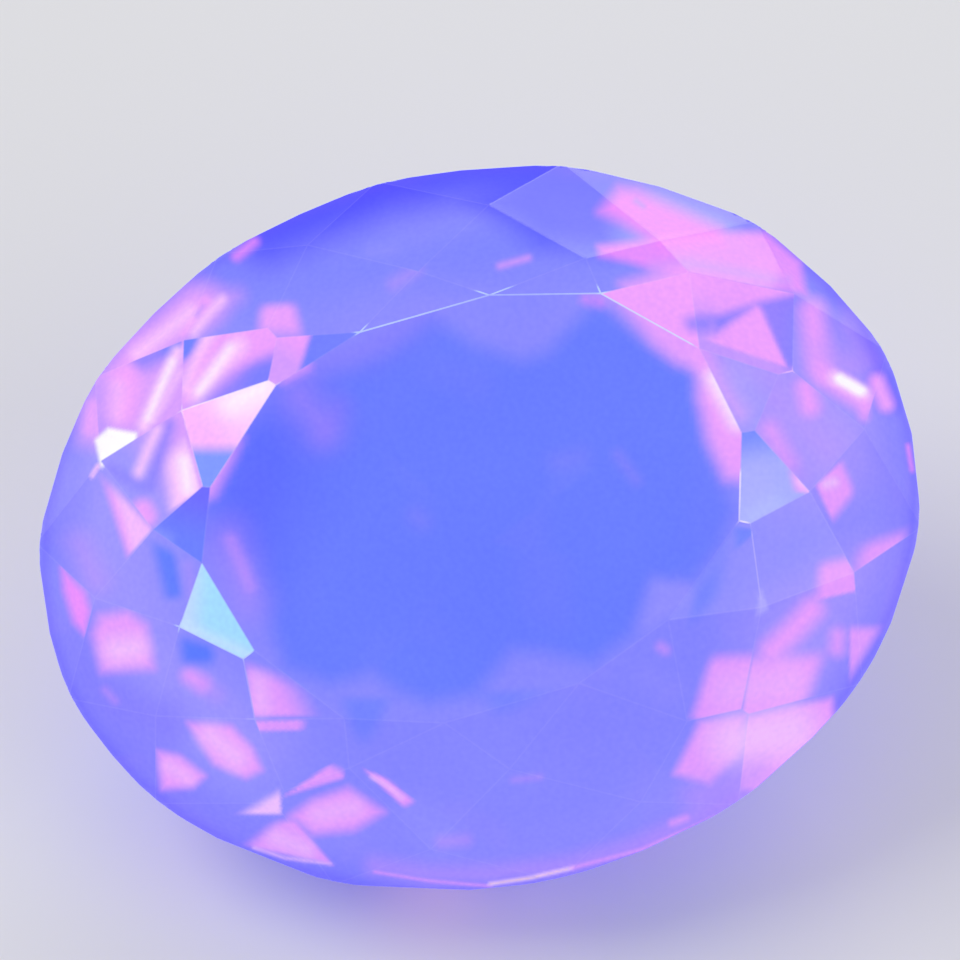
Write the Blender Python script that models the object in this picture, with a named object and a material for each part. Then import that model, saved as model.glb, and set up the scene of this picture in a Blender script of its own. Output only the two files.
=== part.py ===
"""A faceted oval opal, cut plane by plane as a gem cutter would, lying on one facet of its pavilion."""

from math import atan2, cos, pi, radians, sin, tan

import bmesh
import bpy
from mathutils import Matrix, Quaternion, Vector
from mathutils.geometry import intersect_line_plane, intersect_plane_plane

# Driving sizes in metres. Z is up, and the stone is cut with its table level and its long axis on X.
LENGTH = 0.0121
WIDTH = 0.0099
CROWN_HEIGHT = 0.0017
GIRDLE_HEIGHT = 0.00026
PAVILION_DEPTH = 0.0047

# Each row of the crown goes once round the stone.
FACETS = 14

# The girdle has a corner between each two mains, and a blunter one under each main.
BLUNT_SHARE = 0.99

# The stone is cut round and then narrowed to WIDTH. REACH is a girdle corner's distance before that.
REACH = LENGTH / 2 / BLUNT_SHARE
NARROWING = WIDTH / 2 / REACH

# Slopes from level, in degrees, before the stone is narrowed.
STAR_SLOPE = 23
MAIN_SLOPE = 29
RIM_SLOPE = 60
MIDDLE_SLOPE = 40
CULET_SLOPE = 28

# A hand cut isn't even. These are the directions of the crown's mains in degrees round from +X, and
# what each differs in slope.
MAIN_TURNS = (-1, 26, 55, 82, 104, 128, 153, 182, 204, 224, 259, 282, 309, 329)
MAIN_LEANS = (1, 2, -1, 0, 0, 0, 0, 1, 1, -1, -1, -2, -3, 1)

# The table's corners: degrees round from +X, and distance from the middle as a share of REACH.
TABLE_CORNERS = (
    (4, 0.61),
    (27, 0.63),
    (52, 0.62),
    (75, 0.57),
    (105, 0.55),
    (128, 0.56),
    (158, 0.57),
    (178, 0.58),
    (205, 0.56),
    (233, 0.58),
    (255, 0.55),
    (287, 0.53),
    (313, 0.54),
    (342, 0.59),
)

# Where facets just miss each other, and two of them meet on a short ridge in place of a point: the
# ridge's length, for the main's tip at the table, the outer facet's tip, and the girdle facet's tip.
TIP_RIDGES = {0: 0.00019, 5: 0.00016, 6: 0.00012, 8: 0.00021, 13: 0.00017}
OUTER_RIDGES = {0: 0.00023, 4: 0.00028}
GIRDLE_RIDGES = {9: 0.00028, 12: 0.00016}

# Seven wide facets meet at the culet. These are their directions in degrees round from +X.
CULET_TURNS = (0, 50, 95, 147, 198, 252, 305)

# The pavilion's middle row has one facet out from each of them, with a level edge this far from the
# axis, and one on the ridge from it to the next, with its tip this far out, as shares of REACH.
LEVEL_SHARES = (0.58, 0.62, 0.63, 0.62, 0.56, 0.54, 0.5)
TIP_SHARES = (0.58, 0.52, 0.49, 0.54, 0.46, 0.42, 0.46)

# The culet facet that the stone lies on.
REST_FACET = 5

# The blank is a plain cylinder with this much to spare, and points closer than SNAP are one point.
SPARE = 0.0006
SNAP = 2e-7

BODY_COLOUR = (0.24, 0.22, 0.95, 1)
POLISH = 0.05


def clear_scene():
    for found in list(bpy.data.objects):
        bpy.data.objects.remove(found, do_unlink=True)


def around(radius, degrees, height):
    """The point at this radius, direction and height."""
    turn = radians(degrees)
    return Vector((radius * cos(turn), radius * sin(turn), height))


def sloping(point, degrees, slope):
    """The facet plane through a point that faces this direction and lies at this slope; over 90 faces down."""
    return point, around(sin(radians(slope)), degrees, cos(radians(slope)))


def along(first, second, slope):
    """The facet plane through a level edge that runs anticlockwise, at this slope; over 90 faces down."""
    level = (second - first).cross(Vector((0, 0, 1))).normalized()
    return first, level * sin(radians(slope)) + Vector((0, 0, cos(radians(slope))))


def through(first, second, third):
    """The facet plane through three points that run anticlockwise, seen from outside."""
    return first, (second - first).cross(third - first).normalized()


def meeting(first, second, third):
    """The point where three planes meet."""
    start, ridge = intersect_plane_plane(*first, *second)
    return intersect_line_plane(start, start + ridge, *third)


def down_ridge(point, first, second, length):
    """The point this far down the ridge where two facets meet."""
    ridge = first[1].cross(second[1]).normalized()
    if ridge.z > 0:
        ridge.negate()
    return point + ridge * length


def half_way(turns):
    """The directions half-way from each facet to the next."""
    steps = [(turns[(k + 1) % len(turns)] - turn) % 360 for k, turn in enumerate(turns)]
    return [turn + step / 2 for turn, step in zip(turns, steps)]


CORNER_TURNS = half_way(MAIN_TURNS)
RIDGE_TURNS = half_way(CULET_TURNS)


def girdle_corner(k, height):
    """The girdle's corner between this main and the next."""
    return around(REACH, CORNER_TURNS[k % FACETS], height)


def blunt_corner(k, height):
    """The girdle's corner under a main."""
    return around(REACH * BLUNT_SHARE, MAIN_TURNS[k], height)


def main_facets(corners, stars):
    """One kite down from each corner of the table."""
    mains = []
    for k, corner in enumerate(corners):
        tip = down_ridge(corner, stars[k - 1], stars[k], TIP_RIDGES.get(k, 0))
        mains.append(sloping(tip, MAIN_TURNS[k], MAIN_SLOPE + MAIN_LEANS[k]))
    return mains


def outer_facets(stars, mains):
    """One kite between each two mains, down to a corner of the girdle."""
    outers = []
    for k in range(FACETS):
        beside = mains[(k + 1) % FACETS]
        top = down_ridge(meeting(mains[k], beside, stars[k]), mains[k], beside, OUTER_RIDGES.get(k, 0))
        level = around(1, CORNER_TURNS[k] + 90, 0)
        outers.append(through(girdle_corner(k, 0), top + level, top))
    return outers


def girdle_facets(mains, outers):
    """One triangle under each main, down to two corners of the girdle."""
    facets = []
    for k in range(FACETS):
        top = meeting(mains[k], outers[k - 1], outers[k])
        top = down_ridge(top, outers[k - 1], outers[k], GIRDLE_RIDGES.get(k, 0))
        facets.append(through(girdle_corner(k - 1, 0), girdle_corner(k, 0), top))
    return facets


def crown():
    """Every facet plane above the girdle."""
    corners = [around(REACH * share, turn, CROWN_HEIGHT) for turn, share in TABLE_CORNERS]
    stars = [along(corners[k], corners[(k + 1) % FACETS], STAR_SLOPE) for k in range(FACETS)]
    mains = main_facets(corners, stars)
    outers = outer_facets(stars, mains)
    table = (Vector((0, 0, CROWN_HEIGHT)), Vector((0, 0, 1)))
    return girdle_facets(mains, outers) + outers + mains + stars + [table]


def around_girdle(slope):
    """A facet plane through each side of the girdle's lower edge."""
    planes = []
    for k in range(FACETS):
        middle = blunt_corner(k, -GIRDLE_HEIGHT)
        planes.append(along(girdle_corner(k - 1, -GIRDLE_HEIGHT), middle, slope))
        planes.append(along(middle, girdle_corner(k, -GIRDLE_HEIGHT), slope))
    return planes


def culet_facets():
    """The large facets that meet at the culet."""
    culet = Vector((0, 0, -GIRDLE_HEIGHT - PAVILION_DEPTH))
    return [sloping(culet, turn, 180 - CULET_SLOPE) for turn in CULET_TURNS]


def middle_facets(culets):
    """One facet out from each culet facet and one on the ridge from it to the next."""
    middles = []
    for k, (culet, normal) in enumerate(culets):
        outwards = around(1, CULET_TURNS[k], tan(radians(CULET_SLOPE)))
        edge = culet + outwards * (LEVEL_SHARES[k] * REACH)
        middles.append(sloping(edge, CULET_TURNS[k], 180 - MIDDLE_SLOPE))
        ridge = normal.cross(culets[(k + 1) % len(culets)][1])
        tip = culet + ridge * (TIP_SHARES[k] * REACH / ridge.xy.length)
        middles.append(sloping(tip, RIDGE_TURNS[k], 180 - MIDDLE_SLOPE))
    return middles


def pavilion():
    """Every facet plane below the girdle."""
    culets = culet_facets()
    return around_girdle(180 - RIM_SLOPE) + middle_facets(culets) + culets


def cut(blank, plane):
    """Grinds off what lies outside a plane and leaves a flat facet."""
    everything = blank.verts[:] + blank.edges[:] + blank.faces[:]
    made = bmesh.ops.bisect_plane(
        blank, geom=everything, dist=SNAP, plane_co=plane[0], plane_no=plane[1], clear_outer=True
    )
    rim = [edge for edge in made["geom_cut"] if isinstance(edge, bmesh.types.BMEdge) and edge.is_boundary]
    if rim:
        bmesh.ops.edgeloop_fill(blank, edges=rim)


def cut_stone():
    """The stone with its table level, cut from the blank and then narrowed."""
    tall = CROWN_HEIGHT + GIRDLE_HEIGHT + PAVILION_DEPTH + 2 * SPARE
    middle = (CROWN_HEIGHT - GIRDLE_HEIGHT - PAVILION_DEPTH) / 2
    stone = bmesh.new()
    bmesh.ops.create_cone(
        stone,
        cap_ends=True,
        segments=4 * FACETS,
        radius1=REACH + SPARE,
        radius2=REACH + SPARE,
        depth=tall,
        matrix=Matrix.Translation((0, 0, middle)),
    )
    for plane in around_girdle(90) + crown() + pavilion():
        cut(stone, plane)
    bmesh.ops.scale(stone, vec=(1, NARROWING, 1), verts=stone.verts)
    bmesh.ops.recalc_face_normals(stone, faces=stone.faces)
    return stone


def lying_down():
    """The turn that puts the rest facet on the surface and the table towards the front."""
    normal = culet_facets()[REST_FACET][1]
    normal = Vector((normal.x, normal.y / NARROWING, normal.z)).normalized()
    laid = normal.rotation_difference(Vector((0, 0, -1)))
    table = laid @ Vector((0, 0, 1))
    return Quaternion((0, 0, 1), -pi / 2 - atan2(table.y, table.x)) @ laid


def opal_material():
    material = bpy.data.materials.new("opal")
    material.use_nodes = True
    shader = material.node_tree.nodes["Principled BSDF"]
    shader.inputs["Base Color"].default_value = BODY_COLOUR
    shader.inputs["Roughness"].default_value = POLISH
    shader.inputs["Metallic"].default_value = 0
    shader.inputs["IOR"].default_value = 1.45
    return material


def place(stone):
    """Makes the object and sets it down with the middle of its base on the origin."""
    mesh = bpy.data.meshes.new("opal")
    stone.to_mesh(mesh)
    stone.free()
    mesh.materials.append(opal_material())
    opal = bpy.data.objects.new("opal", mesh)
    opal.rotation_mode = "QUATERNION"
    opal.rotation_quaternion = lying_down()
    corners = [opal.rotation_quaternion @ vertex.co for vertex in mesh.vertices]
    lowest = Vector(min(corner[axis] for corner in corners) for axis in range(3))
    highest = Vector(max(corner[axis] for corner in corners) for axis in range(3))
    middle = (lowest + highest) / 2
    opal.location = (-middle.x, -middle.y, -lowest.z)
    return opal


def main():
    clear_scene()
    collection = bpy.data.collections.new("opal")
    bpy.context.scene.collection.children.link(collection)
    collection.objects.link(place(cut_stone()))


main()
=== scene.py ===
"""Looks for the faceted opal: crisp facets, colours with painted flashes of reflected light and painted
glints in them, a painted glow from the stone, a pale floor and soft light.
"""

from math import atan2, ceil, cos, degrees, pi, radians, sin
from random import Random

import bmesh
import bpy
import numpy as np
from mathutils import Matrix, Quaternion, Vector
from mathutils.geometry import delaunay_2d_cdt


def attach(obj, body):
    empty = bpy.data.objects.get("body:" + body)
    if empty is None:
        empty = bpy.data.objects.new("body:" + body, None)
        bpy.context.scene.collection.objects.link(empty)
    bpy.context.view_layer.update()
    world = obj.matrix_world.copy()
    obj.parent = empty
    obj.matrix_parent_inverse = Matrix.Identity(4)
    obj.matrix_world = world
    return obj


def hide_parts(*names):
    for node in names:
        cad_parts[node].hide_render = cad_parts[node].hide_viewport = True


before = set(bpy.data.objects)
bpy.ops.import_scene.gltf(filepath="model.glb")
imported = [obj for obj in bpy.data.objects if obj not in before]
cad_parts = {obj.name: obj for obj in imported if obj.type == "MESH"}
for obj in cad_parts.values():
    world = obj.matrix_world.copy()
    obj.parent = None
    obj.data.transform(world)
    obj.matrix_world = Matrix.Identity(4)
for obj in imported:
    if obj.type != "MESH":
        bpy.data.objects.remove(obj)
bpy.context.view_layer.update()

MM = 0.001

# The camera stands as fitted to the outline and to the facets of the crown in the photograph. Its
# angles are in degrees, and its lens and sensor in millimetres.
CAMERA_PLACE = Vector((3.01, -25.4, 36.18)) * MM
CAMERA_AZIMUTH = 6.59
CAMERA_ELEVATION = 50.76
CAMERA_ROLL = -3.15
LENS = 112.5
SENSOR = 36.0
CLIP_NEAR = 1 * MM
CLIP_FAR = 10
IMAGE_SIZE = 960
FOCAL_PIXELS = IMAGE_SIZE * LENS / SENSOR

# The stone was cut with its table level and then narrowed. Its long axis is this many degrees from +X.
LONG_AXIS_TURN = 14.75
NARROWING = 0.81

# The girdle is ground to a smooth oval, this far from the middle before the stone is narrowed.
GIRDLE_REACH = 6.055 * MM

# The rows of facets from the table down, and the bevels between facets. The photograph shows the
# table and the crown.
ROWS = ("table", "star", "main", "outer", "girdle", "band", "rim", "middle", "culet", "edge")
EDGE = ROWS.index("edge")
CROWN = ("star", "main", "outer", "girdle")

# A facet's row follows from its slope, in degrees from level before the stone was narrowed. Each row
# ends at this slope. The crown's two lower rows have the same slopes and differ in height.
ROW_ENDS = {"table": 5, "star": 24.5, "main": 32, "lower": 70, "band": 100, "rim": 130, "middle": 146}

# The facets of a row are numbered anticlockwise from this direction, in degrees from the right.
FIRST_TURN = -5

# More than any row has facets, so that a row and a number make one key.
KEY = 1000

# Corners of the CAD mesh this close are one, and its triangles that differ by less than this many
# degrees are one facet.
SNAP = 0.0005 * MM
FLAT = 0.6

# The small bevel that lets a facet's edges catch the light, and how much paler painted highlight makes it
# than the facets.
EDGE_WIDTH = 0.012 * MM
EDGE_HIGHLIGHT_SHARE = 0.03

# The mesh is fine enough to hold the colours. These are the longest sides of its triangles, by row.
SIDES = {"table": 0.08 * MM, **dict.fromkeys(CROWN, 0.045 * MM)}
HIDDEN_SIDE = 0.13 * MM

# The points inside a facet lie in rows this far apart, as a share of the distance within a row.
LATTICE_RISE = 0.87

# Triangles are made inside the outline alone, and points this close, in millimetres, are one.
INSIDE_ONLY = 1
TRIANGLE_SNAP = 1e-7

# Colours as they are seen, from 0 to 255. First the blues.
WINDOW = (104, 124, 254)
WINDOW_DEEP = (86, 98, 253)
WEDGE = (84, 122, 255)
FAR_RIM_SHADE = (66, 68, 250)
RIM = (106, 104, 255)
COOL = (124, 130, 253)
COLD = (112, 134, 255)
SLATE = (138, 150, 236)
MILKY = (138, 138, 253)
FROST = (164, 170, 252)

# The violets.
VIOLET = (132, 124, 255)
LAVENDER = (150, 146, 255)
PALE = (174, 168, 255)
MILKY_LEFT = (156, 149, 252)
MILKY_RIGHT = (164, 148, 251)
HAZE = (136, 120, 250)
RIM_SHADE = (84, 70, 205)

# The pinks, mostly for painted flashes of light reflected inside the stone.
MAUVE = (196, 150, 252)
ORCHID = (216, 156, 252)
PINK = (240, 160, 252)
ROSE = (250, 140, 236)
MAGENTA = (232, 108, 236)
BLUSH = (252, 200, 255)

# The lightest ones, mostly for painted glints and highlights.
WHITE = (255, 242, 255)
GLINT = (255, 252, 244)
HOT = (255, 214, 190)
AQUA = (168, 226, 255)
PALE_AQUA = (196, 220, 255)
ICE = (206, 232, 255)

# The base colours of each row, from the inner end of a facet to its outer end.
ROW_SHADES = {
    **dict.fromkeys(("table", *CROWN), (MILKY, MILKY)),
    "band": (RIM, VIOLET),
    "rim": (RIM, VIOLET),
    "middle": (VIOLET, LAVENDER),
    "culet": (WINDOW, WINDOW_DEEP),
}

# The rows that the photograph doesn't show have seeded flashes, most of them painted reflections of light,
# this many on each facet. Half of a flash's length and width and its softness are in millimetres, and its
# turn is in radians. Its lean is a share of its length.
HIDDEN_FLASHES = {"rim": 2, "middle": 3, "culet": 3}
HIDDEN_SEED = 11
HIDDEN_TURNS = (0, 3.14)
HIDDEN_LENGTHS = (0.3, 1.1)
HIDDEN_WIDTHS = (0.15, 0.5)
HIDDEN_LEANS = (-0.4, 0.4)
HIDDEN_TINTS = (PINK, MAUVE, MAUVE, BLUSH, LAVENDER, WEDGE, WEDGE)
HIDDEN_STRENGTHS = (0.4, 0.9)
HIDDEN_SOFTNESSES = (0.25, 0.6)

# The stone's material. The glow stands for the light that it scatters back from inside. The clouds
# and the grain in it are noise of these scales, which changes the colour and the polish this much.
GLOW = 0.3
TRANSMISSION = 0.22
OPAL_IOR = 1.45
POLISH = (0.03, 0.09)
CLOUD_SCALE = 420
CLOUD_CHANGE = (0.9, 1.1)
GRAIN_SCALE = 14000
GRAIN_CHANGE = (0.94, 1.06)
INNER_COLOUR = (0.5, 0.55, 1, 1)
INNER_DENSITY = 180

# The floor and the lights. Each light has a name, a place and a size in millimetres, and watts.
FLOOR_REACH = 600 * MM
FLOOR_COLOUR = (0.78, 0.77, 0.77, 1)
FLOOR_ROUGHNESS = 0.55
LIGHTS = (
    ("key", (-90, 10, 110), 90, 0.065),
    ("fill", (110, -60, 70), 120, 0.04),
    ("back", (20, 130, 60), 90, 0.04),
)
STUDIO_COLOUR = (0.8, 0.82, 0.86, 1)
STUDIO_STRENGTH = 0.65


def linear(colour):
    """A seen colour as light."""
    shares = np.array(colour) / 255
    return np.where(shares <= 0.04045, shares / 12.92, ((shares + 0.055) / 1.055) ** 2.4)


def smooth(value):
    """A soft step from 0 to 1."""
    held = np.clip(value, 0, 1)
    return held * held * (3 - 2 * held)


def cross(first, second):
    """How far one flat vector turns left of another, times their lengths."""
    return first[..., 0] * second[..., 1] - first[..., 1] * second[..., 0]


def flash(tint, strength, share, on):
    """A colour laid over some facets, with a function from pixels to how much of it they show."""
    return {"tint": tint, "strength": strength, "share": share, "on": on}


def patch(tint, strength, soft, *corners, on=None):
    """A flash with straight sides. Each may have a softness of its own, by the corner it starts at."""
    points = np.array(corners, float)
    softness = soft if isinstance(soft, tuple) else (soft,) * len(points)
    winding = np.sign(sum(cross(points, np.roll(points, -1, 0))))

    def share(pixels):
        inside = np.ones(len(pixels))
        for k, point in enumerate(points):
            side = points[(k + 1) % len(points)] - point
            depth = winding * cross(side / np.hypot(*side), pixels - point)
            inside *= smooth(0.5 + depth / softness[k])
        return inside

    return flash(tint, strength, share, on)


def to_outline(pixels, points, closed):
    """How far pixels are from an outline's nearest side, and whether they are inside it."""
    nearest = np.full(len(pixels), np.inf)
    inside = np.zeros(len(pixels), bool)
    last = len(points) if closed else len(points) - 1
    for k in range(last):
        start, end = points[k], points[(k + 1) % len(points)]
        along = end - start
        reach = np.clip((pixels - start) @ along / (along @ along), 0, 1)
        nearest = np.minimum(nearest, np.hypot(*(pixels - start - reach[:, None] * along).T))
        rises = (start[1] > pixels[:, 1]) != (end[1] > pixels[:, 1])
        # A level side is never crossed, and only has to avoid a division by zero.
        crossed = start[0] + (pixels[:, 1] - start[1]) * along[0] / (along[1] or 1)
        inside ^= rises & (pixels[:, 0] < crossed)
    return nearest, inside


def region(tint, strength, soft, *corners, on=None):
    """A flash of any outline, with one softness."""
    points = np.array(corners, float)

    def share(pixels):
        nearest, inside = to_outline(pixels, points, True)
        return smooth(0.5 + np.where(inside, nearest, -nearest) / soft)

    return flash(tint, strength, share, on)


def streak(tint, strength, width, soft, *corners, on=None):
    """A flash along a line."""
    points = np.array(corners, float)

    def share(pixels):
        return smooth(0.5 + (width / 2 - to_outline(pixels, points, False)[0]) / soft)

    return flash(tint, strength, share, on)


def ramp(inner, outer, start, end, on):
    """A facet's own colour, which runs from one to another between two pixels."""
    along = np.subtract(end, start)

    def everywhere(pixels):
        return np.ones(len(pixels))

    def share(pixels):
        return smooth((pixels - start) @ along / (along @ along))

    return [flash(inner, 1, everywhere, on), flash(outer, 1, share, on)]


# From here to the painted edge highlights all places, widths and softnesses are in pixels of the photograph,
# from its upper left corner. A flash is kept to the rows or the numbered facets that it names.
OUTLINE_MIDDLE = (479, 529)
OUTLINE_REACH = (440, 356)
OUTLINE_TILT = 13.3
OUTLINE_POINTS = 40


def outline_of(reach):
    """Points round the stone's outline, or round a smaller one inside it, and back to the first."""
    tilt = radians(OUTLINE_TILT)
    points = []
    for k in range(OUTLINE_POINTS + 1):
        turn = 2 * pi * k / OUTLINE_POINTS
        x = OUTLINE_REACH[0] * reach * cos(turn)
        y = OUTLINE_REACH[1] * reach * sin(turn)
        across = OUTLINE_MIDDLE[0] + x * cos(tilt) + y * sin(tilt)
        down = OUTLINE_MIDDLE[1] - x * sin(tilt) + y * cos(tilt)
        points.append((across, down))
    return points


# The colour changes slowly across the crown, and painted shade darkens the rim.
WASHES = [
    # The sides are paler, and the far side is bluer.
    streak(MILKY_LEFT, 1, 90, 90, (110, 470), (120, 600), (190, 700), (250, 740), on=CROWN),
    streak(MILKY_RIGHT, 1, 110, 110, (740, 350), (830, 440), (860, 560), (800, 660), on=CROWN),
    streak(COOL, 1, 60, 70, (230, 290), (330, 270), (450, 255), (560, 240), (640, 250), on=CROWN),
    # Painted shade makes the rim deeper, most of all at the top.
    streak(RIM, 0.35, 30, 60, *outline_of(0.97), on=CROWN),
    streak(FAR_RIM_SHADE, 1, 60, 60, (268, 230), (380, 186), (470, 168), (560, 166), (610, 172), on=CROWN),
    streak(
        RIM_SHADE, 0.8, 14, 34,
        (560, 166), (630, 176), (720, 204), (800, 256), (860, 320), (890, 400),
        on=CROWN,
    ),
    region(FAR_RIM_SHADE, 0.85, 50, (470, 200), (560, 160), (640, 170), (610, 250), (540, 244), on=CROWN),
    streak(VIOLET, 0.7, 40, 60, (70, 640), (120, 740), (200, 820), (300, 870), on=CROWN),
    streak(RIM_SHADE, 0.65, 4, 24, *outline_of(1), on=CROWN),
    # Lighter stretches near the bottom and on the left.
    streak(LAVENDER, 0.5, 36, 50, (330, 840), (420, 858), (500, 858), (600, 835), (680, 800), on=CROWN),
    streak(VIOLET, 0.8, 40, 50, (120, 700), (165, 725), on=CROWN),
    streak(MAUVE, 0.5, 20, 40, (80, 545), (96, 580), on=CROWN),
]

# Where the blue window through the table ends, clockwise from the left.
WINDOW_EDGE = (
    (212, 490),
    (276, 384),
    (310, 374),
    (350, 366),
    (389, 350),
    (430, 316),
    (473, 345),
    (522, 360),
    (548, 352),
    (566, 332),
    (596, 300),
    (620, 316),
    (652, 346),
    (677, 362),
    (697, 366),
    (705, 440),
    (722, 480),
    (735, 510),
    (722, 545),
    (694, 585),
    (655, 580),
    (633, 635),
    (593, 663),
    (541, 652),
    (512, 652),
    (476, 694),
    (428, 703),
    (400, 693),
    (373, 675),
    (330, 684),
    (285, 668),
    (264, 606),
    (250, 560),
    (200, 540),
)

# The pink and white flashes from here on are painted light: reflections from facets inside the stone, and
# painted glints.
TABLE_FLASHES = [
    # The blue window and its deeper left end.
    region(WINDOW, 1, 32, *WINDOW_EDGE, on=("table", "star 12")),
    patch(WINDOW_DEEP, 0.7, 130, (270, 370), (330, 430), (260, 600), (190, 560), (190, 480), on="table"),
    # Violet haze at the window's upper left.
    streak(HAZE, 0.5, 22, 58, (300, 372), (368, 350), (420, 316), on="table"),
    streak(HAZE, 0.5, 16, 35, (340, 405), (322, 436), on="table"),
    streak(HAZE, 0.5, 40, 72, (300, 400), (320, 425), on="table"),
    streak(MAUVE, 0.3, 20, 50, (300, 396), (326, 430), on="table"),
    # Pink along its left side.
    streak(PINK, 0.75, 10, 17, (284, 377), (305, 366), on="table"),
    streak(PINK, 0.85, 14, 23, (209, 490), (226, 456), (232, 440), on="table"),
    streak(MAUVE, 0.4, 30, 64, (226, 540), (248, 600), on="table"),
    streak(PINK, 0.45, 6, 23, (231, 540), (240, 560), (250, 586), on="table"),
    # Pink along its upper right side.
    region(
        MAUVE, 0.8, 26,
        (590, 286), (652, 345), (676, 363), (712, 374), (700, 335), (640, 295),
        on="table",
    ),
    region(
        PINK, 0.75, 23,
        (625, 305), (655, 344), (676, 361), (712, 374), (700, 335), (660, 310),
        on="table",
    ),
    streak(ROSE, 0.5, 8, 17, (586, 299), (600, 302), on="table"),
    region(
        PINK, 0.95, 26,
        (698, 345), (756, 435), (748, 480), (726, 478), (708, 440), (699, 400),
        on="table",
    ),
    streak(WHITE, 0.95, 14, 26, (716, 378), (738, 420), on="table"),
    # Facets of the pavilion, seen at its lower right.
    patch(LAVENDER, 0.8, (17, 12, 12, 26), (652, 581), (694, 585), (680, 608), (641, 630)),
    patch(WINDOW, 0.8, (20, 23, 20, 14), (696, 588), (724, 556), (716, 600), (690, 622)),
    streak(PINK, 0.6, 6, 17, (661, 647), (665, 650)),
    # Faint marks in it.
    streak(MAUVE, 0.25, 4, 23, (618, 455), (636, 480)),
    streak(MAUVE, 0.14, 10, 32, (416, 516), (422, 521)),
    streak(MAUVE, 0.1, 10, 35, (556, 462), (580, 456)),
    # Blue wedges below it.
    patch(WEDGE, 0.5, (12, 20, 29, 20), (342, 698), (390, 698), (372, 740), (356, 740)),
    patch(WEDGE, 0.4, (12, 26, 29, 26), (482, 692), (545, 690), (510, 714), (492, 714)),
]

UPPER_LEFT_FLASHES = [
    # Pink along the rim, with brighter streaks.
    region(
        ORCHID, 0.95, 44,
        (84, 440), (90, 400), (128, 350), (190, 296), (236, 296), (182, 334), (110, 440),
        on=CROWN,
    ),
    streak(PINK, 0.8, 34, 50, (104, 420), (140, 352), (200, 306), on=CROWN),
    streak(BLUSH, 0.8, 8, 14, (222, 300), (208, 314), (194, 332), on=("outer 4", "girdle 5")),
    streak(PINK, 0.8, 7, 12, (206, 302), (194, 316), (184, 333), on=("outer 4", "girdle 5")),
    streak(
        BLUSH, 0.85, 10, 22,
        (190, 312), (165, 332), (138, 354),
        on=("girdle 5", "outer 4", "outer 5"),
    ),
    streak(VIOLET, 0.6, 2, 10, (203, 306), (197, 315), on=("outer 4", "girdle 5")),
    # Small flashes above the table.
    patch(
        PINK, 0.9, (14, 17, 26, 17),
        (262, 306), (294, 304), (302, 336), (258, 334),
        on=("outer 4", "main 4"),
    ),
    streak(ROSE, 0.7, 8, 14, (237, 256), (254, 242), on=("girdle 4", "girdle 5", "outer 4")),
    # The kite at the rim, with a bright streak up its side.
    *ramp(ORCHID, MAUVE, (150, 390), (100, 430), "outer 5"),
    patch(VIOLET, 0.85, (10, 5, 20, 14), (128, 360), (182, 334), (181, 352), (138, 374), on="outer 5"),
    patch(WEDGE, 0.5, (6, 5, 14, 14), (158, 344), (182, 334), (181, 350), (166, 358), on="outer 5"),
    streak(PINK, 0.95, 28, 26, (126, 380), (122, 410), on="outer 5"),
    streak(BLUSH, 0.45, 12, 26, (118, 388), (116, 414), on="outer 5"),
    streak(BLUSH, 0.95, 11, 14, (177, 352), (162, 384), (144, 426), on="outer 5"),
    streak(WHITE, 0.85, 5, 13, (172, 362), (159, 392), (148, 418), on="outer 5"),
    streak(BLUSH, 0.6, 5, 10, (180, 372), (166, 400), (154, 420), on="outer 5"),
    # The kite beside it, with two streaks and two dark corners.
    *ramp(ORCHID, PINK, (190, 345), (260, 335), "main 5"),
    patch(WEDGE, 0.9, (5, 14, 12, 5), (182, 335), (203, 334), (192, 356), (182, 362), on="main 5"),
    streak(BLUSH, 0.95, 12, 14, (215, 328), (201, 354), (187, 388), on="main 5"),
    streak(PINK, 0.7, 14, 17, (224, 334), (204, 362), (190, 396), on="main 5"),
    streak(BLUSH, 0.9, 16, 20, (238, 346), (218, 368), (198, 396), on="main 5"),
    streak(WHITE, 0.85, 6, 16, (230, 348), (216, 368), (200, 390), on="main 5"),
    patch(VIOLET, 0.9, (23, 5, 5, 23), (246, 362), (275, 354), (270, 386), (192, 412), on="main 5"),
    patch(WEDGE, 0.45, (23, 5, 5, 23), (252, 366), (275, 360), (270, 382), (240, 390), on="main 5"),
    # The two star facets at the table's upper left.
    *ramp(ORCHID, PINK, (285, 365), (300, 340), "star 4"),
    patch(WEDGE, 0.9, (8, 30, 8, 9), (314, 322), (380, 318), (370, 352), (296, 382), on="star 4"),
    *ramp(BLUSH, PINK, (258, 392), (200, 440), "star 5"),
    streak(WHITE, 0.8, 16, 38, (232, 404), (262, 388), on="star 5"),
    patch(WEDGE, 1, (17, 5, 5, 5), (178, 449), (244, 449), (206, 494), (186, 494), on="star 5"),
]

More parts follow.
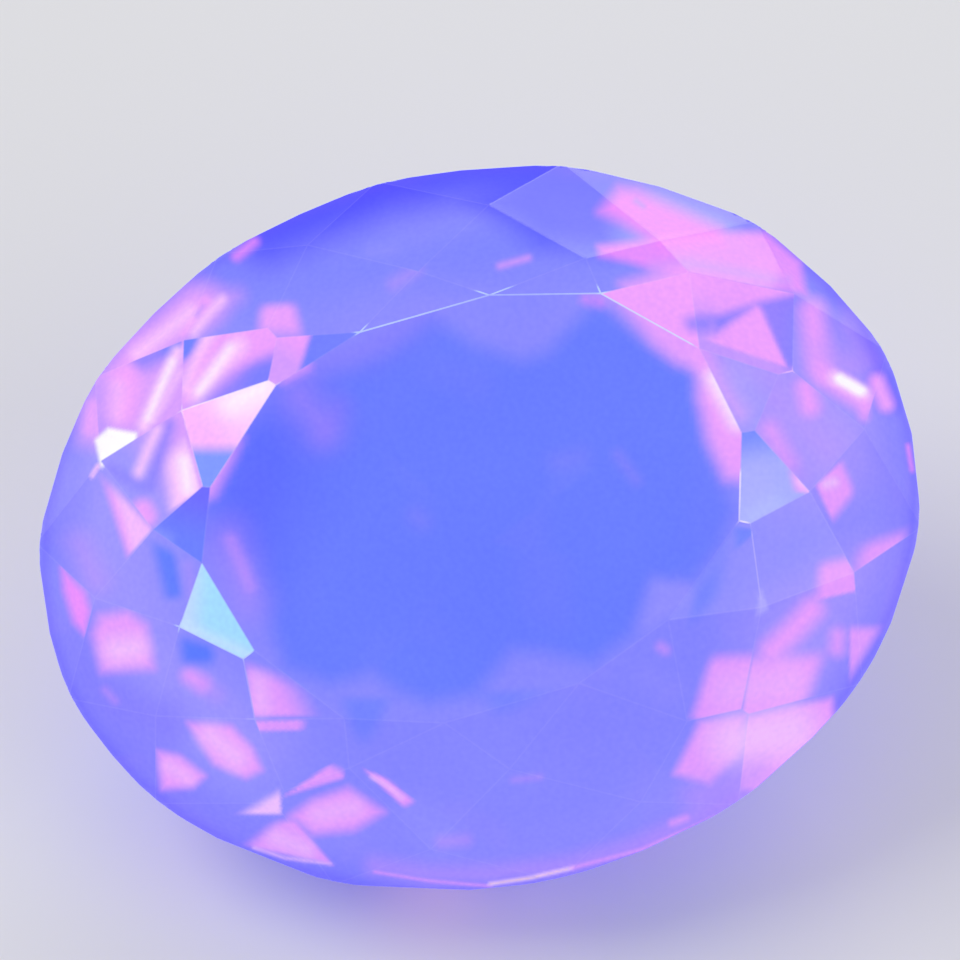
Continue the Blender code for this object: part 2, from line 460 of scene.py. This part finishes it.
LEFT_FLASHES = [
    streak(PINK, 0.75, 9, 13, (92, 406), (88, 430), on=CROWN),
    # The kite left of the table.
    *ramp(ORCHID, MILKY_LEFT, (185, 425), (120, 460), "main 6"),
    streak(BLUSH, 0.85, 10, 14, (158, 430), (148, 450), (138, 474), on="main 6"),
    streak(VIOLET, 0.8, 9, 17, (170, 425), (160, 455), (150, 486), on="main 6"),
    streak(VIOLET, 0.6, 12, 17, (112, 470), (140, 486), on="main 6"),
    patch(BLUSH, 0.95, (17, 5, 5, 20), (166, 458), (186, 440), (200, 490), (172, 510), on="main 6"),
    streak(WHITE, 0.85, 10, 17, (184, 462), (188, 488), on="main 6"),
    streak(PINK, 0.9, 20, 17, (143, 510), (146, 516), on="main 6"),
    # The painted white glint, and the pink tip below it.
    region(
        GLINT, 1, 6,
        (95, 440), (108, 428), (137, 433), (136, 446), (101, 468),
        on=("outer 5", "girdle 6", "outer 6"),
    ),
    streak(BLUSH, 0.9, 4, 5, (98, 466), (92, 476)),
    patch(PINK, 0.9, (14, 5, 12), (104, 482), (152, 528), (128, 556), on="outer 6"),
    patch(BLUSH, 0.65, (12, 5, 14), (114, 488), (152, 530), (132, 552), on="outer 6"),
    # The blue star facet, and blue on the kite below it.
    *ramp(RIM, WINDOW, (202, 490), (190, 545), "star 6"),
    streak(SLATE, 0.85, 12, 23, (150, 532), (164, 540), on="star 6"),
    patch(WEDGE, 0.85, (14, 12, 14, 17), (152, 542), (174, 552), (182, 596), (166, 600), on="main 7"),
    streak(MAUVE, 0.3, 10, 17, (188, 566), (192, 594), on="main 7"),
    # The aqua star facet.
    *ramp(PALE_AQUA, AQUA, (182, 610), (212, 612), "star 7"),
    streak(ICE, 0.9, 8, 20, (184, 626), (250, 656), on="star 7"),
    patch(WEDGE, 0.95, 18, (180, 636), (214, 646), (214, 664), (182, 664), on="main 8"),
    # Pink flashes at the rim.
    region(
        ROSE, 0.85, 14,
        (62, 568), (84, 592), (90, 612), (85, 634), (74, 622), (64, 590),
        on="girdle 7",
    ),
    region(
        PINK, 0.95, 20,
        (93, 634), (100, 616), (128, 612), (146, 626), (153, 668), (102, 671),
        on="outer 7",
    ),
    streak(BLUSH, 0.85, 20, 32, (116, 650), (136, 648), on="outer 7"),
    streak(PINK, 0.3, 5, 12, (105, 690), (115, 701)),
]

LOWER_LEFT_FLASHES = [
    # Flashes below the aqua facet.
    streak(PINK, 0.85, 14, 20, (190, 676), (202, 684), on="main 8"),
    streak(MAUVE, 0.4, 14, 23, (204, 686), (216, 694), on="main 8"),
    patch(PINK, 0.9, (20, 38, 6, 12), (246, 666), (290, 682), (306, 716), (250, 716), on="star 8"),
    streak(BLUSH, 0.5, 14, 26, (258, 682), (262, 706), on="star 8"),
    patch(PINK, 0.85, (5, 14, 5, 5), (252, 721), (304, 720), (302, 730), (256, 731), on="main 9"),
    # Two flashes that point to the rim.
    region(
        PINK, 0.95, 13,
        (188, 723), (231, 726), (252, 748), (262, 770), (246, 778), (214, 764),
        on="outer 8",
    ),
    streak(BLUSH, 0.65, 18, 30, (210, 736), (236, 758), on="outer 8"),
    region(PINK, 0.95, 13, (157, 751), (180, 756), (205, 776), (193, 787), (162, 789), on="outer 8"),
    streak(BLUSH, 0.5, 10, 22, (168, 766), (188, 778), on="outer 8"),
    # A fan of flashes.
    patch(
        PINK, 0.9, (5, 12, 5, 6),
        (284, 796), (330, 765), (344, 772), (344, 778),
        on=("main 9", "outer 9"),
    ),
    patch(
        BLUSH, 0.95, (14, 5, 5),
        (243, 814), (280, 792), (281, 814),
        on=("outer 8", "girdle 9", "outer 9"),
    ),
    region(
        PINK, 0.98, 17,
        (290, 816), (313, 800), (348, 788), (384, 812), (354, 830), (313, 834),
        on="outer 9",
    ),
    streak(BLUSH, 0.5, 16, 26, (318, 814), (354, 808), on="outer 9"),
    patch(
        PINK, 0.9, (17, 12, 5, 6),
        (248, 846), (280, 820), (294, 820), (332, 864),
        on=("girdle 9", "outer 9"),
    ),
    streak(BLUSH, 0.55, 14, 22, (276, 838), (306, 850), on=("girdle 9", "outer 9")),
    streak(BLUSH, 0.8, 2, 5, (254, 848), (285, 858), (331, 864), on=("girdle 9", "outer 9")),
    patch(PINK, 0.95, (5, 5, 9, 5), (364, 770), (384, 777), (414, 801), (404, 807)),
    streak(BLUSH, 0.8, 3, 7, (372, 777), (388, 786), (402, 798)),
]

BOTTOM_FLASHES = [
    streak(PALE, 0.3, 24, 58, (415, 815), (440, 835)),
    streak(PINK, 0.3, 3, 13, (514, 780), (540, 777)),
    streak(PINK, 0.3, 8, 20, (442, 842), (466, 840)),
    streak(LAVENDER, 0.6, 20, 40, (650, 680), (672, 690)),
    # A painted highlight: the bright line along the near rim.
    streak(
        MAUVE, 0.6, 16, 26,
        (375, 866), (430, 874), (490, 874), (570, 864), (640, 844), (742, 798),
        on=CROWN,
    ),
    streak(PINK, 0.85, 2, 5, (375, 872), (430, 881), (490, 886), on=CROWN),
    streak(HOT, 0.95, 3, 5, (490, 884), (530, 878), (572, 868), on=CROWN),
    streak(PINK, 0.8, 3, 6, (572, 868), (640, 850), (742, 806), on=CROWN),
    streak(PINK, 0.75, 5, 10, (672, 823), (686, 818), on=CROWN),
]

LOWER_RIGHT_FLASHES = [
    # Four large flashes round a crossing of edges.
    patch(PINK, 0.95, (20, 12, 5, 17), (712, 657), (756, 656), (744, 716), (692, 719), on="main 12"),
    patch(PINK, 0.95, (23, 20, 5, 6), (752, 659), (823, 655), (803, 708), (742, 717), on="outer 12"),
    region(PINK, 0.95, 14, (700, 722), (744, 716), (738, 756), (710, 784), (674, 774), on="outer 11"),
    region(PINK, 0.95, 12, (742, 719), (832, 698), (836, 744), (756, 792), (736, 788), on="girdle 12"),
    streak(BLUSH, 0.8, 50, 50, (736, 740), (790, 732), on=("girdle 12", "outer 11")),
    streak(BLUSH, 0.35, 30, 50, (730, 690), (790, 684), on=("main 12", "outer 12")),
    streak(MAUVE, 0.6, 30, 40, (700, 796), (752, 776), on=("girdle 11", "outer 11", "girdle 12")),
    # Smaller ones up the right side.
    streak(PINK, 0.95, 22, 24, (772, 650), (794, 630), (812, 610), on="outer 12"),
    streak(PINK, 0.8, 14, 20, (838, 636), (837, 648), on="outer 12"),
    patch(PINK, 0.85, (14, 14, 5), (850, 628), (880, 628), (850, 676), on=("outer 12", "girdle 13")),
    patch(PINK, 0.9, (20, 14, 5, 26), (862, 546), (906, 532), (902, 546), (852, 592), on="outer 13"),
    patch(
        PINK, 0.95, (17, 12, 5, 17),
        (820, 564), (852, 558), (860, 590), (817, 600),
        on=("main 13", "outer 12"),
    ),
    patch(PALE, 0.9, (5, 5, 5), (761, 588), (769, 610), (756, 616)),
]

RIGHT_FLASHES = [
    # The star facet and the kite at the table's right end.
    streak(PINK, 0.85, 14, 32, (702, 350), (722, 384), (740, 412), on="star 0"),
    streak(MAUVE, 0.4, 20, 58, (740, 372), (780, 380), on="star 0"),
    streak(PALE, 0.6, 30, 60, (736, 380), (750, 420), on="star 0"),
    streak(PALE, 0.5, 60, 116, (800, 430), (830, 460), on="main 0"),
    streak(MAUVE, 0.5, 50, 80, (776, 400), (826, 450), on="main 0"),
    streak(PINK, 0.95, 18, 22, (806, 388), (810, 406), on="main 0"),
    streak(PINK, 0.85, 14, 28, (770, 430), (788, 462), on="main 0"),
    streak(MAUVE, 0.5, 10, 29, (770, 446), (800, 476), on="main 0"),
    # The pale blue star facet, and the pink tips beside it.
    *ramp(COLD, FROST, (752, 432), (760, 470), "star 13"),
    streak(ICE, 0.2, 16, 38, (750, 518), (776, 506), on="star 13"),
    streak(MILKY, 0.7, 50, 60, (786, 548), (870, 515), on=("main 13", "outer 13")),
    patch(PINK, 0.9, (12, 5, 5, 13), (790, 470), (802, 474), (819, 494), (796, 492), on="star 13"),
    streak(BLUSH, 0.8, 6, 10, (800, 482), (815, 493), on="star 13"),
    patch(
        PINK, 0.95, (6, 13, 14, 6),
        (816, 485), (841, 462), (854, 492), (832, 520),
        on=("outer 13", "main 13"),
    ),
    streak(WHITE, 0.5, 4, 17, (826, 484), (834, 482), on="outer 13"),
    patch(WEDGE, 0.7, (5, 5, 12), (735, 527), (758, 530), (736, 549), on="star 12"),
    # The rim, with a painted white glint.
    streak(PINK, 0.95, 24, 26, (812, 312), (820, 366), on=("outer 0", "outer 1", "girdle 1")),
    streak(MAUVE, 0.6, 20, 35, (822, 350), (850, 366), on="outer 0"),
    streak(MAUVE, 0.5, 24, 46, (846, 326), (866, 360), on=("outer 0", "girdle 0", "girdle 1")),
    streak(PINK, 0.85, 20, 20, (826, 378), (868, 404), on="outer 0"),
    streak(BLUSH, 1, 13, 13, (835, 378), (864, 394), on="outer 0"),
    streak(GLINT, 1, 10, 8, (840, 379), (861, 391), on="outer 0"),
    streak(PINK, 0.95, 15, 14, (877, 382), (886, 404), on=("outer 0", "girdle 0")),
    streak(PINK, 0.7, 8, 16, (864, 402), (864, 416)),
    streak(ROSE, 0.7, 4, 6, (908, 446), (912, 470)),
]

TOP_RIGHT_FLASHES = [
    # Two bands of pink on the far rim.
    region(
        MAGENTA, 0.9, 23,
        (600, 212), (619, 188), (636, 190), (720, 228), (722, 244), (660, 246), (622, 222),
        on=CROWN,
    ),
    region(
        ROSE, 0.75, 14,
        (598, 246), (660, 238), (720, 232), (766, 232), (800, 262), (806, 294), (690, 280), (628, 262),
        (600, 256),
        on=CROWN,
    ),
    region(
        MAUVE, 0.6, 17,
        (650, 262), (692, 258), (790, 278), (790, 288), (695, 270), (650, 276),
        on=CROWN,
    ),
    streak(VIOLET, 0.7, 3, 10, (636, 201), (643, 206)),
    # The pink facets at the table's upper right, and the dark ones between.
    *ramp(PINK, PINK, (660, 290), (690, 330), "star 1"),
    *ramp(PINK, MAUVE, (740, 290), (720, 350), "main 1"),
    region(PINK, 0.9, 26, (622, 284), (695, 262), (710, 290), (690, 330), (640, 306), on="main 2"),
    patch(VIOLET, 0.8, 17, (684, 317), (714, 314), (712, 332), (686, 331), on=("main 1", "star 1")),
    region(
        VIOLET, 0.9, 14,
        (712, 318), (757, 302), (803, 292), (806, 372), (786, 368), (760, 308), (716, 334),
        on="main 1",
    ),
    streak(MILKY, 0.6, 14, 29, (796, 320), (796, 356), on="main 1"),
    patch(PINK, 0.95, (14, 5, 5, 23), (716, 332), (757, 304), (787, 367), (706, 340), on="main 1"),
]

TOP_FLASHES = [
    streak(PINK, 0.7, 4, 12, (500, 266), (514, 262), (528, 258)),
    streak(MAUVE, 0.4, 10, 20, (394, 284), (416, 270), on=("main 4", "main 3", "star 3")),
    streak(LAVENDER, 0.4, 10, 23, (372, 252), (392, 250)),
]

FLASHES = (
    WASHES
    + TABLE_FLASHES
    + TOP_FLASHES
    + TOP_RIGHT_FLASHES
    + RIGHT_FLASHES
    + LOWER_RIGHT_FLASHES
    + BOTTOM_FLASHES
    + LOWER_LEFT_FLASHES
    + UPPER_LEFT_FLASHES
    + LEFT_FLASHES
)

# Painted highlights: bright lines along edges between facets.
EDGE_HIGHLIGHT_LINES = [
    streak(ICE, 0.6, 8, 4, (358, 332), (489, 291), (597, 290), (690, 345)),
    streak(PALE, 0.6, 10, 5, (247, 660), (252, 722)),
    streak(ICE, 0.5, 10, 5, (180, 626), (252, 658)),
    streak(WHITE, 0.6, 10, 5, (742, 475), (744, 524)),
    streak(PALE, 0.6, 8, 4, (752, 535), (762, 600)),
    streak(WHITE, 0.3, 8, 4, (276, 381), (182, 410)),
    streak(BLUSH, 0.5, 8, 4, (726, 345), (790, 371)),
]


def camera_turn():
    azimuth = radians(CAMERA_AZIMUTH)
    elevation = radians(CAMERA_ELEVATION)
    back = Vector((sin(azimuth) * cos(elevation), -cos(azimuth) * cos(elevation), sin(elevation)))
    level = (-back).to_track_quat("-Z", "Y")
    return level @ Quaternion((0, 0, 1), radians(CAMERA_ROLL))


def make_camera():
    data = bpy.data.cameras.new("camera")
    data.lens = LENS
    data.sensor_width = SENSOR
    data.clip_start = CLIP_NEAR
    data.clip_end = CLIP_FAR
    camera = bpy.data.objects.new("camera", data)
    camera.location = CAMERA_PLACE
    camera.rotation_mode = "QUATERNION"
    camera.rotation_quaternion = camera_turn()
    bpy.context.scene.collection.objects.link(camera)
    bpy.context.scene.camera = camera


def own_frame():
    """The stone's own frame: Z out of the table, X along the stone, and its middle as origin."""
    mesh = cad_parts["opal"].data
    up = max(mesh.polygons, key=lambda face: face.area).normal.copy()
    level = Vector((1, 0, 0))
    along = Quaternion(up, radians(LONG_AXIS_TURN)) @ (level - up * level.dot(up)).normalized()
    turn = Matrix((along, up.cross(along), up))
    points = [turn @ vertex.co for vertex in mesh.vertices]
    lowest = Vector([min(point[axis] for point in points) for axis in range(3)])
    highest = Vector([max(point[axis] for point in points) for axis in range(3)])
    back = turn.transposed()
    return Matrix.Translation(back @ ((lowest + highest) / 2)) @ back.to_4x4()


def facets(own):
    """The node's triangles joined into its facets, in the stone's own frame."""
    stone = bmesh.new()
    stone.from_mesh(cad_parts["opal"].data)
    stone.transform(own.inverted())
    bmesh.ops.remove_doubles(stone, verts=stone.verts, dist=SNAP)
    bmesh.ops.dissolve_limit(stone, angle_limit=radians(FLAT), verts=stone.verts, edges=stone.edges)
    bmesh.ops.recalc_face_normals(stone, faces=stone.faces)
    return stone


def row_of(face):
    """The row that a facet belongs to, from its slope before the stone was narrowed."""
    normal = Vector((face.normal.x, face.normal.y * NARROWING, face.normal.z)).normalized()
    slope = degrees(normal.angle(Vector((0, 0, 1))))
    return next((name for name, end in ROW_ENDS.items() if slope < end), "culet")


def turn_of(face):
    middle = face.calc_center_median()
    return (degrees(atan2(middle.y / NARROWING, middle.x)) - FIRST_TURN) % 360


def label(stone):
    """Writes into each facet its row and its number in the row."""
    row_layer = stone.faces.layers.int.new("row")
    number_layer = stone.faces.layers.int.new("number")
    rows = {}
    for face in stone.faces:
        rows.setdefault(row_of(face), []).append(face)
    lower = sorted(rows.pop("lower"), key=lambda face: face.calc_center_median().z)
    rows["girdle"] = lower[: len(rows["main"])]
    rows["outer"] = lower[len(rows["main"]) :]
    for name, faces in rows.items():
        for number, face in enumerate(sorted(faces, key=turn_of)):
            face[row_layer] = ROWS.index(name)
            face[number_layer] = number


def bevelled(stone):
    """Cuts a narrow bevel along each edge between facets, as a row of its own."""
    bmesh.ops.bevel(
        stone,
        geom=stone.edges[:],
        offset=EDGE_WIDTH,
        offset_type="OFFSET",
        segments=1,
        affect="EDGES",
        clamp_overlap=True,
        material=1,
    )
    row_layer = stone.faces.layers.int["row"]
    for face in stone.faces:
        if face.material_index:
            face[row_layer] = EDGE
            face.material_index = 0


def side_of(point, start, end):
    """How far a point is to the left of a line."""
    along = (end - start).normalized()
    return along.x * (point.y - start.y) - along.y * (point.x - start.x)


def lattice_in(outline, spacing):
    """The points of a lattice that lie well inside a convex outline."""
    low = [min(point[axis] for point in outline) for axis in range(2)]
    high = [max(point[axis] for point in outline) for axis in range(2)]
    rise = spacing * LATTICE_RISE
    inner = []
    for i in range(int((high[1] - low[1]) / rise) + 1):
        for j in range(int((high[0] - low[0]) / spacing) + 1):
            point = Vector((low[0] + (j + i % 2 / 2) * spacing, low[1] + i * rise))
            sides = zip(outline, outline[1:] + outline[:1])
            if all(side_of(point, start, end) > spacing / 2 for start, end in sides):
                inner.append(point)
    return inner


def longest_side(faces, row_layer):
    return min(SIDES.get(ROWS[face[row_layer]], HIDDEN_SIDE) for face in faces)


def divided(stone, row_layer):
    """The stone's corners and points along its edges, and which of the points lie along each edge."""
    points = [vert.co.copy() for vert in stone.verts]
    between = []
    for edge in stone.edges:
        start, end = (vert.co for vert in edge.verts)
        count = ceil(edge.calc_length() / longest_side(edge.link_faces, row_layer))
        between.append(range(len(points), len(points) + count - 1))
        points += [start.lerp(end, k / count) for k in range(1, count)]
    return points, between


def rim_of(face, between):
    """The points round a face."""
    rim = []
    for loop in face.loops:
        inner = between[loop.edge.index]
        forward = loop.edge.verts[0] == loop.vert
        rim += [loop.vert.index, *(inner if forward else reversed(inner))]
    return rim


def filled(face, rim, points, row_layer):
    """Adds points inside a face to all points, and joins its own into triangles."""
    along = (face.verts[1].co - face.verts[0].co).normalized()
    beside = face.normal.cross(along)
    height = points[rim[0]].dot(face.normal)
    flat = [Vector((points[index].dot(along), points[index].dot(beside))) / MM for index in rim]
    inner = []
    if face[row_layer] != EDGE:
        corners = [Vector((vert.co.dot(along), vert.co.dot(beside))) / MM for vert in face.verts]
        inner = lattice_in(corners, longest_side([face], row_layer) / MM)
    spots = rim + list(range(len(points), len(points) + len(inner)))
    points += [along * (spot.x * MM) + beside * (spot.y * MM) + face.normal * height for spot in inner]
    made = delaunay_2d_cdt(flat + inner, [], [list(range(len(rim)))], INSIDE_ONLY, TRIANGLE_SNAP)
    triangles, sources = made[2:4]
    return [[spots[sources[corner][0]] for corner in triangle] for triangle in triangles]


def refined(stone):
    """The stone as a mesh of small triangles that hold its colours, with the row and number of each."""
    row_layer = stone.faces.layers.int["row"]
    number_layer = stone.faces.layers.int["number"]
    stone.verts.index_update()
    stone.edges.index_update()
    points, between = divided(stone, row_layer)
    triangles, rows, numbers = [], [], []
    for face in stone.faces:
        made = filled(face, rim_of(face, between), points, row_layer)
        triangles += made
        rows += [face[row_layer]] * len(made)
        numbers += [face[number_layer]] * len(made)
    mesh = bpy.data.meshes.new("opal_stone")
    mesh.from_pydata(points, [], triangles)
    return mesh, np.array(rows), np.array(numbers)


def read(things, what, width, kind=float):
    """What each vertex, corner or face of a mesh says, as an array."""
    found = np.empty(len(things) * width, kind)
    things.foreach_get(what, found)
    return found.reshape(-1, width)


def rounded(mesh):
    """Grinds the girdle's corners off, so that the stone's outline is a smooth oval."""
    points = read(mesh.vertices, "co", 3)
    reach = np.hypot(points[:, 0], points[:, 1] / NARROWING)
    points[:, :2] *= np.minimum(1, GIRDLE_REACH / np.maximum(reach, MM))[:, None]
    mesh.vertices.foreach_set("co", points.ravel())
    mesh.update()


def seen(points, own):
    """The pixels at which the camera sees points of the stone's own frame."""
    view = camera_turn().to_matrix().transposed()
    matrix = np.array(view @ own.to_3x3())
    place = np.array(view @ (own.translation - CAMERA_PLACE))
    local = points @ matrix.T + place
    x = IMAGE_SIZE / 2 + FOCAL_PIXELS * local[:, 0] / -local[:, 2]
    y = IMAGE_SIZE / 2 - FOCAL_PIXELS * local[:, 1] / -local[:, 2]
    return np.stack([x, y], 1)


def groups(row, number):
    """Each facet's row and its corners."""
    for key in np.unique(row * KEY + number):
        name = ROWS[key // KEY]
        if name != "edge":
            yield name, row * KEY + number == key


def allowed(on, row, number):
    """The corners of the facets that a flash is kept to: rows, or facets by row and number."""
    if on is None:
        return row != EDGE
    found = np.zeros(len(row), bool)
    for entry in on if isinstance(on, tuple) else (on,):
        name, _, wanted = entry.partition(" ")
        match = row == ROWS.index(name)
        if wanted:
            match &= number == int(wanted)
        found |= match
    return found


def base_colour(name, place):
    """A facet's own colour, from its inner end to its outer end."""
    inner, outer = ROW_SHADES[name]
    reach = np.hypot(place[:, 0], place[:, 1] / NARROWING)
    share = (reach - reach.min()) / (np.ptp(reach) or 1)
    return linear(inner) + (linear(outer) - linear(inner)) * smooth(share)[:, None]


def lay(found, colour, where, places):
    """Lays a flash over the colours of some corners, at these places."""
    share = found["share"](places)[:, None] * found["strength"]
    colour[where] += (linear(found["tint"]) - colour[where]) * share


def hidden_flash(chance, low, high):
    """A slanted patch somewhere between the lowest and highest place of a facet."""
    middle = [chance.uniform(low[axis], high[axis]) for axis in range(2)]
    turn = chance.uniform(*HIDDEN_TURNS)
    along = np.array([cos(turn), sin(turn)]) * chance.uniform(*HIDDEN_LENGTHS)
    beside = np.array([-sin(turn), cos(turn)]) * chance.uniform(*HIDDEN_WIDTHS)
    lean = along * chance.uniform(*HIDDEN_LEANS)
    near = (middle - along - beside - lean, middle + along - beside)
    far = (middle + along + beside + lean, middle - along + beside)
    tint = chance.choice(HIDDEN_TINTS)
    strength = chance.uniform(*HIDDEN_STRENGTHS)
    return patch(tint, strength, chance.uniform(*HIDDEN_SOFTNESSES), *near, *far)


def paint_hidden(colour, row, number, place):
    """Seeded flashes, most of them painted reflections of light, on the facets that the photograph doesn't
    show.
    """
    chance = Random(HIDDEN_SEED)
    for name, chosen in groups(row, number):
        spots = place[chosen][:, :2] / MM
        for _ in range(HIDDEN_FLASHES.get(name, 0)):
            lay(hidden_flash(chance, spots.min(0), spots.max(0)), colour, chosen, spots)


def paint_edges(colour, row, corner_verts, pixels, facing):
    """Each bevel takes the colours of the facets beside it, a little paler with painted highlight. Some
    carry bright painted highlight lines.
    """
    edge = row == EDGE
    total = np.zeros((corner_verts.max() + 1, 3))
    count = np.zeros(corner_verts.max() + 1)
    np.add.at(total, corner_verts[~edge], colour[~edge])
    np.add.at(count, corner_verts[~edge], 1)
    mean = total / np.maximum(count, 1)[:, None]
    colour[edge] = mean[corner_verts[edge]]
    colour[edge] += (linear(WHITE) - colour[edge]) * EDGE_HIGHLIGHT_SHARE
    where = edge & facing
    for found in EDGE_HIGHLIGHT_LINES:
        lay(found, colour, where, pixels[where])


def paint(mesh, rows, numbers, own):
    """Gives each corner of the mesh the colour that its facet shows there, painted reflections, glints and
    shade included.
    """
    corner_verts = read(mesh.loops, "vertex_index", 1, int)[:, 0]
    place = read(mesh.vertices, "co", 3)[corner_verts]
    normal = np.repeat(read(mesh.polygons, "normal", 3), 3, 0)
    row, number = np.repeat(rows, 3), np.repeat(numbers, 3)
    pixels = seen(place, own)
    eye = np.array(own.inverted() @ CAMERA_PLACE)
    facing = ((eye - place) * normal).sum(1) > 0
    colour = np.zeros((len(row), 3))
    for name, chosen in groups(row, number):
        colour[chosen] = base_colour(name, place[chosen])
    for found in FLASHES:
        where = facing & allowed(found["on"], row, number)
        lay(found, colour, where, pixels[where])
    paint_hidden(colour, row, number, place)
    paint_edges(colour, row, corner_verts, pixels, facing)
    layer = mesh.attributes.new("colour_and_painted_light", "FLOAT_COLOR", "CORNER")
    layer.data.foreach_set("color", np.concatenate([colour, np.ones((len(row), 1))], 1).ravel())


def node(tree, kind, values=None, **settings):
    """Adds a node, sets it up, and sets or wires its inputs."""
    made = tree.nodes.new(kind)
    for name, value in settings.items():
        setattr(made, name, value)
    for name, value in (values or {}).items():
        socket = made.inputs[name]
        if isinstance(value, bpy.types.NodeSocket):
            tree.links.new(value, socket)
        else:
            socket.default_value = value
    return made


def noise(tree, where, scale, detail):
    values = {"Vector": where, "Scale": scale, "Detail": detail}
    return node(tree, "ShaderNodeTexNoise", values).outputs["Fac"]


def in_range(tree, value, ends):
    """Noise brought from 0 to 1 into another range."""
    values = {"Value": value, "To Min": ends[0], "To Max": ends[1]}
    return node(tree, "ShaderNodeMapRange", values).outputs["Result"]


def opal_material():
    """Translucent polished opal: the painted colours with their painted light, made cloudy and grainy and
    also given off as a glow, over a blue depth.
    """
    material = bpy.data.materials.new("opal_colour_and_painted_light")
    material.use_nodes = True
    material.cycles.emission_sampling = "NONE"
    tree = material.node_tree
    shader = tree.nodes["Principled BSDF"]
    where = node(tree, "ShaderNodeTexCoord").outputs["Object"]
    colour_and_painted_light = node(tree, "ShaderNodeAttribute", attribute_name="colour_and_painted_light").outputs["Color"]
    cloud = noise(tree, where, CLOUD_SCALE, 1)
    milky = in_range(tree, cloud, CLOUD_CHANGE)
    fine = in_range(tree, noise(tree, where, GRAIN_SCALE, 0), GRAIN_CHANGE)
    both = node(tree, "ShaderNodeMath", {0: milky, 1: fine}, operation="MULTIPLY").outputs[0]
    shown = node(tree, "ShaderNodeVectorMath", {0: colour_and_painted_light, "Scale": both}, operation="SCALE").outputs["Vector"]
    tree.links.new(shown, shader.inputs["Base Color"])
    tree.links.new(shown, shader.inputs["Emission Color"])
    tree.links.new(in_range(tree, cloud, POLISH), shader.inputs["Roughness"])
    shader.inputs["Emission Strength"].default_value = GLOW
    shader.inputs["Transmission Weight"].default_value = TRANSMISSION
    shader.inputs["IOR"].default_value = OPAL_IOR
    depth = node(tree, "ShaderNodeVolumeAbsorption", {"Color": INNER_COLOUR, "Density": INNER_DENSITY})
    tree.links.new(depth.outputs["Volume"], tree.nodes["Material Output"].inputs["Volume"])
    return material


def make_stone():
    own = own_frame()
    stone = facets(own)
    label(stone)
    bevelled(stone)
    mesh, rows, numbers = refined(stone)
    stone.free()
    rounded(mesh)
    paint(mesh, rows, numbers, own)
    mesh.materials.append(opal_material())
    mesh.transform(own)
    piece = bpy.data.objects.new("opal_stone", mesh)
    bpy.context.scene.collection.objects.link(piece)
    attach(piece, "root")
    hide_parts("opal")


def make_floor():
    far = FLOOR_REACH
    mesh = bpy.data.meshes.new("floor")
    mesh.from_pydata([(-far, -far, 0), (far, -far, 0), (far, far, 0), (-far, far, 0)], [], [(0, 1, 2, 3)])
    material = bpy.data.materials.new("pale_floor")
    material.use_nodes = True
    shader = material.node_tree.nodes["Principled BSDF"]
    shader.inputs["Base Color"].default_value = FLOOR_COLOUR
    shader.inputs["Roughness"].default_value = FLOOR_ROUGHNESS
    mesh.materials.append(material)
    floor = bpy.data.objects.new("floor", mesh)
    bpy.context.scene.collection.objects.link(floor)


def soft_light(name, place, size, power):
    data = bpy.data.lights.new(name, "AREA")
    data.shape = "DISK"
    data.size = size * MM
    data.energy = power
    light = bpy.data.objects.new(name, data)
    light.location = Vector(place) * MM
    light.rotation_mode = "QUATERNION"
    light.rotation_quaternion = (-light.location).to_track_quat("-Z", "Y")
    bpy.context.scene.collection.objects.link(light)


def make_lights():
    for light in LIGHTS:
        soft_light(*light)
    world = bpy.data.worlds.new("studio")
    world.use_nodes = True
    background = world.node_tree.nodes["Background"]
    background.inputs["Color"].default_value = STUDIO_COLOUR
    background.inputs["Strength"].default_value = STUDIO_STRENGTH
    bpy.context.scene.world = world


bpy.context.scene.view_settings.view_transform = "Standard"
make_camera()
make_stone()
make_floor()
make_lights()
